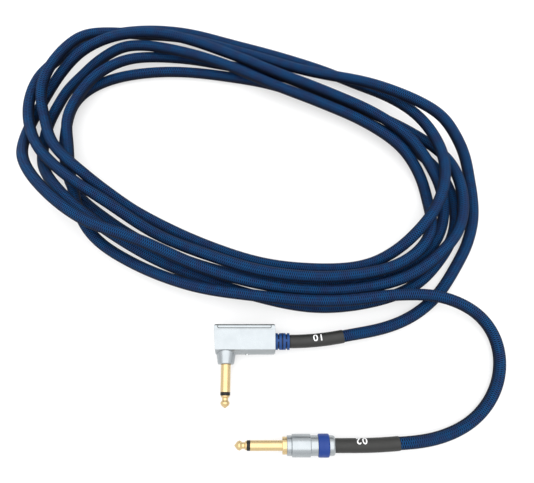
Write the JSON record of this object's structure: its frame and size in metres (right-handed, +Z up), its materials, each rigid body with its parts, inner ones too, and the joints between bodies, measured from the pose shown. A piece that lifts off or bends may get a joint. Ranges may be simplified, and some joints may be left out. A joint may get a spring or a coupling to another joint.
{
  "type": "instrument cable",
  "caption": "Coiled braided audio cord with a straight plug at one end and a right-angle plug at the other, for joining an instrument to an amplifier.",
  "frame": {"origin": "on the surface that the cable lies on, under the middle of the box round the two plugs", "axes": "+X along the straight plug, from its tip to its cord; +Y from the plugs towards the coil, against the angle plug's pin; +Z up from the surface"},
  "size_m": [0.342, 0.3252, 0.0334],
  "materials": {
    "gold_contact": "polished gold plate on turned brass",
    "contact_brass": "tinned brass",
    "copper_strand": "twisted bare copper strands",
    "black_insulator": "turned black plastic",
    "clear_insulator": "natural moulded plastic",
    "brown_insulator": "pressed laminate",
    "core_insulation": "extruded white insulation",
    "grey_plastic": "moulded grey plastic",
    "satin_nickel": "satin nickel plate on die-cast zinc",
    "blue_plastic": "moulded royal blue plastic, satin",
    "blue_rubber": "moulded royal blue rubber",
    "shrink_tube": "dark grey heat-shrink tube, semi-matte",
    "cord_jacket": "woven blue textile braid over a flexible jacket"
  },
  "bodies": {
    "cable": {"straight_tip": "gold_contact", "straight_insulating_ring": "black_insulator", "straight_sleeve": "gold_contact", "straight_insulating_tube": "clear_insulator", "straight_rod": "contact_brass", "straight_washer": "brown_insulator", "straight_tip_lug": "contact_brass", "straight_ground_lug": "contact_brass", "straight_shell": "satin_nickel", "straight_liner": "grey_plastic", "straight_chuck": "grey_plastic", "straight_shrink_sleeve": "shrink_tube", "straight_cord_end": "cord_jacket", "straight_core": "core_insulation", "straight_wire": "copper_strand", "straight_shield": "copper_strand", "angle_tip": "gold_contact", "angle_insulating_ring": "black_insulator", "angle_sleeve": "gold_contact", "angle_insulating_tube": "clear_insulator", "angle_rod": "contact_brass", "angle_washer": "brown_insulator", "angle_tip_lug": "contact_brass", "angle_ground_lug": "contact_brass", "ground_rivet": "satin_nickel", "angle_housing": "satin_nickel", "angle_boot": "blue_rubber", "angle_shrink_sleeve": "shrink_tube", "angle_cord_end": "cord_jacket", "angle_core": "core_insulation", "angle_wire": "copper_strand", "angle_shield": "copper_strand", "cord_coil": "cord_jacket", "angle_tail": "cord_jacket", "straight_tail": "cord_jacket"},
    "ring_body": {"colour_ring": "blue_plastic"},
    "nut_body": {"rear_nut": "satin_nickel"},
    "cover_body": {"angle_cover": "satin_nickel"}
  },
  "joints": [
    {"name": "ring_slide", "type": "slide", "parent": "cable", "child": "ring_body", "axis": [1, 0, 0], "range_m": [0, 0.004]},
    {"name": "nut_turn", "type": "hinge", "parent": "ring_body", "child": "nut_body", "pos_m": [0.01605, -0.0341, 0.0071], "axis": [1, 0, 0], "range_deg": [0, 1440]},
    {"name": "cover_slide", "type": "slide", "parent": "cable", "child": "cover_body", "axis": [0, 1, 0], "range_m": [0, 0.01]}
  ],
  "couplings": [
    {"joint": "ring_slide", "follows": "nut_turn", "m_per_rad": 0.00015915}
  ]
}
